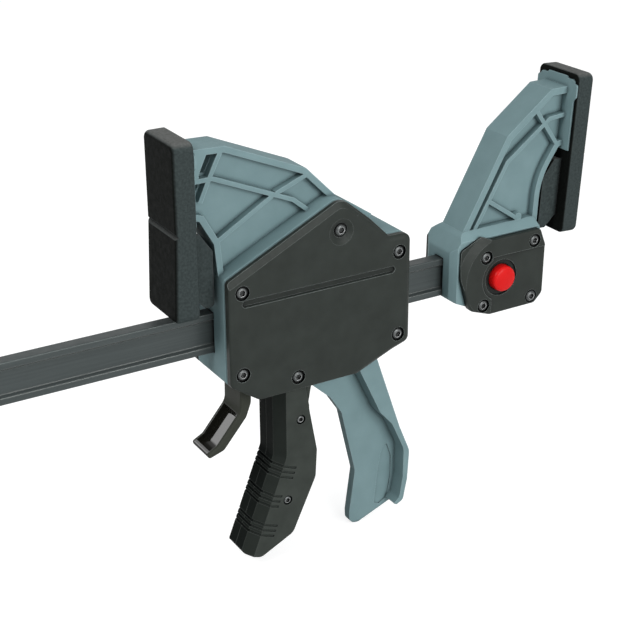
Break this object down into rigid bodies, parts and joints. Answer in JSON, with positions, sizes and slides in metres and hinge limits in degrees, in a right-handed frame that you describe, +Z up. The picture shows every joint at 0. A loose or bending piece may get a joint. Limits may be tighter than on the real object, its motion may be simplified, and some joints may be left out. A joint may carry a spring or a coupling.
{
  "type": "quick release bar clamp",
  "caption": "One-handed trigger bar clamp set up as a spreader, with padded jaws facing outwards, a release lever and a push button that frees the fixed jaw.",
  "frame": {"origin": "on the bar's top edge, in the mid-plane, directly under the moving pad's face", "axes": "+X along the bar towards the fixed jaw, +Z up from the bar to the pads, Y across the clamp, the button facing -Y"},
  "size_m": [0.5448, 0.0423, 0.2434],
  "materials": {
    "nylon": "satin moulded",
    "cover": "satin moulded",
    "grip": "satin moulded",
    "rubber": "matte",
    "bar_steel": "dark satin coat",
    "plate_steel": "plain",
    "spring_steel": "plain",
    "screws": "blackened",
    "lever": "gloss",
    "button": "gloss"
  },
  "bodies": {
    "bar": {"bar": "bar_steel", "fixed_jaw": "nylon", "fixed_pad": "rubber", "fixed_front_cover": "cover", "fixed_rear_cover": "cover", "fixed_front_screws": "screws", "fixed_rear_screws": "screws", "button_spring": "spring_steel"},
    "button": {"release_button": "button", "lock_pin": "plate_steel"},
    "moving_jaw": {"moving_jaw": "nylon", "moving_pad": "rubber", "front_cover": "cover", "rear_cover": "cover", "front_cover_screws": "screws", "rear_cover_screws": "screws", "trigger_pivot_sleeve": "plate_steel", "drive_spring": "spring_steel", "brake_spring": "spring_steel"},
    "trigger": {"trigger_yoke": "plate_steel", "trigger_front_shell": "grip", "trigger_rear_shell": "grip", "trigger_screws": "screws"},
    "drive_plates": {"drive_plates": "plate_steel"},
    "brake": {"brake_plate": "plate_steel", "release_lever": "lever", "lever_rivet": "plate_steel"}
  },
  "joints": [
    {"name": "jaw_slide", "type": "slide", "parent": "bar", "child": "moving_jaw", "axis": [1, 0, 0], "range_m": [-0.29, 0.032]},
    {"name": "trigger_pull", "type": "hinge", "parent": "moving_jaw", "child": "trigger", "pos_m": [0.0878, 0, 0.0365], "axis": [0, -1, 0], "range_deg": [0, 10.5], "stiffness_Nm_per_rad": 3, "springref_deg": -11.46},
    {"name": "drive_slide", "type": "slide", "parent": "moving_jaw", "child": "drive_plates", "axis": [1, 0, 0], "range_m": [0, 0.0088], "deforming": ["drive_spring"]},
    {"name": "release_pull", "type": "hinge", "parent": "moving_jaw", "child": "brake", "pos_m": [0.038, 0, 0.008], "axis": [0, -1, 0], "range_deg": [0, 7], "stiffness_Nm_per_rad": 1.5, "springref_deg": -8.59, "deforming": ["brake_spring"]},
    {"name": "button_press", "type": "slide", "parent": "bar", "child": "button", "axis": [0, 1, 0], "range_m": [0, 0.0045], "stiffness_N_per_m": 1200, "springref_m": -0.003, "deforming": ["button_spring"]}
  ],
  "couplings": [
    {"joint": "drive_slide", "follows": "trigger_pull", "m_per_rad": 0.0477}
  ]
}
